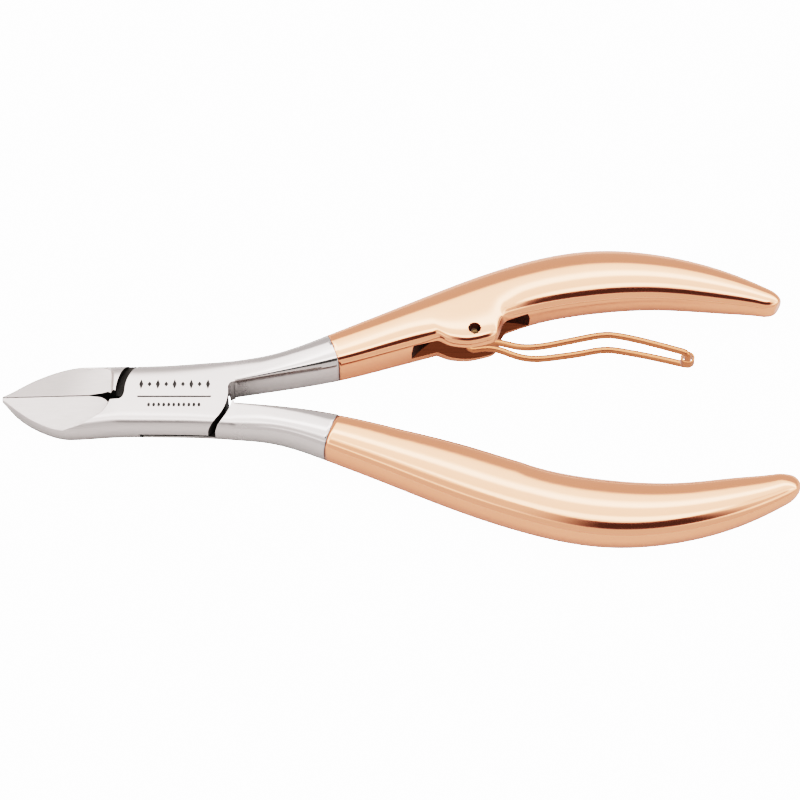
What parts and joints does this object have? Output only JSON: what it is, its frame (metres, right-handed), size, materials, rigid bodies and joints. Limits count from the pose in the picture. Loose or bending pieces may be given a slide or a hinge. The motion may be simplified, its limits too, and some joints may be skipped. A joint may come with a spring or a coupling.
{
  "type": "cuticle nipper",
  "caption": "Lap-jointed cuticle nipper with short curved jaws, rounded rose-gold handles and a fold-away wire spring with a roller.",
  "frame": {"origin": "on the pivot axis, at the flat back of the lap joint, which is also the plane the nipper lies on", "axes": "+X from the pivot towards the handle ends, +Z out of the front of the lap joint, +Y towards the handle that carries the spring"},
  "size_m": [0.1189, 0.0528, 0.0075],
  "materials": {
    "polished_steel": "polished stainless steel",
    "rose_gold": "polished rose-gold plating over steel",
    "rivet_steel": "polished stainless steel",
    "pin_steel": "dark plated pin end",
    "spring_wire": "rose-gold plated spring wire",
    "roller_gold": "rose-gold plated tube"
  },
  "bodies": {
    "upper_arm": {"front_head": "polished_steel", "upper_handle": "rose_gold", "pivot_rivet": "rivet_steel", "spring_pin": "pin_steel"},
    "lower_arm": {"rear_head": "polished_steel", "lower_handle": "rose_gold"},
    "spring": {"wire_spring": "spring_wire"},
    "roller": {"roller_sleeve": "roller_gold"}
  },
  "joints": [
    {"name": "jaw_pivot", "type": "hinge", "parent": "upper_arm", "child": "lower_arm", "pos_m": [0, 0, 0], "axis": [0, 0, -1], "range_deg": [0, 26]},
    {"name": "spring_swing", "type": "hinge", "parent": "upper_arm", "child": "spring", "pos_m": [0.045, 0.01, 0.00375], "axis": [0, 0, -1], "range_deg": [-10, 42]},
    {"name": "roller_spin", "type": "hinge", "parent": "spring", "child": "roller", "pos_m": [0.0771, 0.00645, 0.00375], "axis": [0, 0, 1], "continuous": true}
  ]
}
